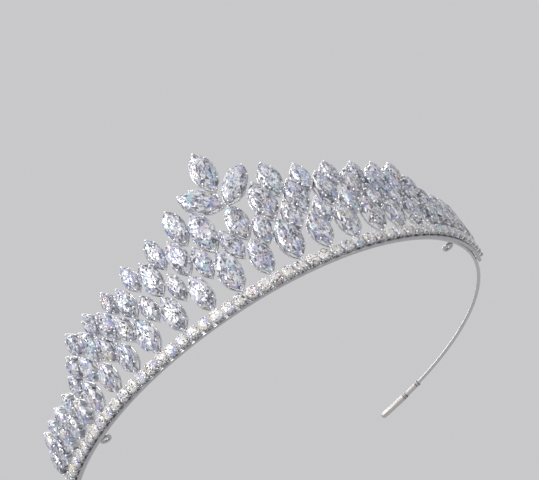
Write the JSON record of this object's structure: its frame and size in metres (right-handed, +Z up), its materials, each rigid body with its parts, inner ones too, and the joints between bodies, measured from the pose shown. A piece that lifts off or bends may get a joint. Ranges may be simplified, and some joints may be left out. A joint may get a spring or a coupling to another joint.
{
  "type": "bridal tiara",
  "caption": "Open wire headband with a row of round crystals and a staggered lattice of upright marquise crystals in prong baskets, rising to a three-leaf top.",
  "frame": {"origin": "centre of the band's circle, in the flat plane that the base rail rests on", "axes": "+Z up from the resting plane towards the crest, front of the tiara towards -Y, +X towards the tiara's own right end as seen from the front"},
  "size_m": [0.1362, 0.1303, 0.0444],
  "materials": {
    "band_metal": "bright rhodium-tone plating on drawn wire",
    "cup_metal": "bright rhodium-tone plating on cast cups",
    "setting_metal": "bright rhodium-tone plating on cast baskets",
    "cap_metal": "satin plated end caps",
    "marquise_crystal": "cut clear crystal with a faint lavender cast",
    "round_crystal": "brilliant-cut clear crystal"
  },
  "bodies": {
    "root": {"headband_wire": "band_metal", "base_rail": "band_metal", "end_cap_left": "cap_metal", "end_cap_right": "cap_metal", "hairpin_loop_left": "band_metal", "hairpin_loop_right": "band_metal", "round_cups_left": "cup_metal", "round_cups_front": "cup_metal", "round_cups_right": "cup_metal", "round_stones_left": "round_crystal", "round_stones_front": "round_crystal", "round_stones_right": "round_crystal", "low_settings_left_side": "setting_metal", "low_settings_left_front": "setting_metal", "low_setting_middle": "setting_metal", "low_settings_right_front": "setting_metal", "low_settings_right_side": "setting_metal", "low_stones_left_side": "marquise_crystal", "low_stones_left_front": "marquise_crystal", "low_stone_middle": "marquise_crystal", "low_stones_right_front": "marquise_crystal", "low_stones_right_side": "marquise_crystal", "nest_settings_left_side": "setting_metal", "nest_settings_left_front": "setting_metal", "nest_settings_right_front": "setting_metal", "nest_settings_right_side": "setting_metal", "nest_stones_left_side": "marquise_crystal", "nest_stones_left_front": "marquise_crystal", "nest_stones_right_front": "marquise_crystal", "nest_stones_right_side": "marquise_crystal", "high_settings_left": "setting_metal", "high_setting_middle": "setting_metal", "high_settings_right": "setting_metal", "high_stones_left": "marquise_crystal", "high_stone_middle": "marquise_crystal", "high_stones_right": "marquise_crystal", "crest_settings_left": "setting_metal", "crest_settings_right": "setting_metal", "crest_stones_left": "marquise_crystal", "crest_stones_right": "marquise_crystal", "wing_setting_left": "setting_metal", "wing_setting_right": "setting_metal", "wing_stone_left": "marquise_crystal", "wing_stone_right": "marquise_crystal", "top_setting": "setting_metal", "top_stone": "marquise_crystal"}
  },
  "joints": []
}
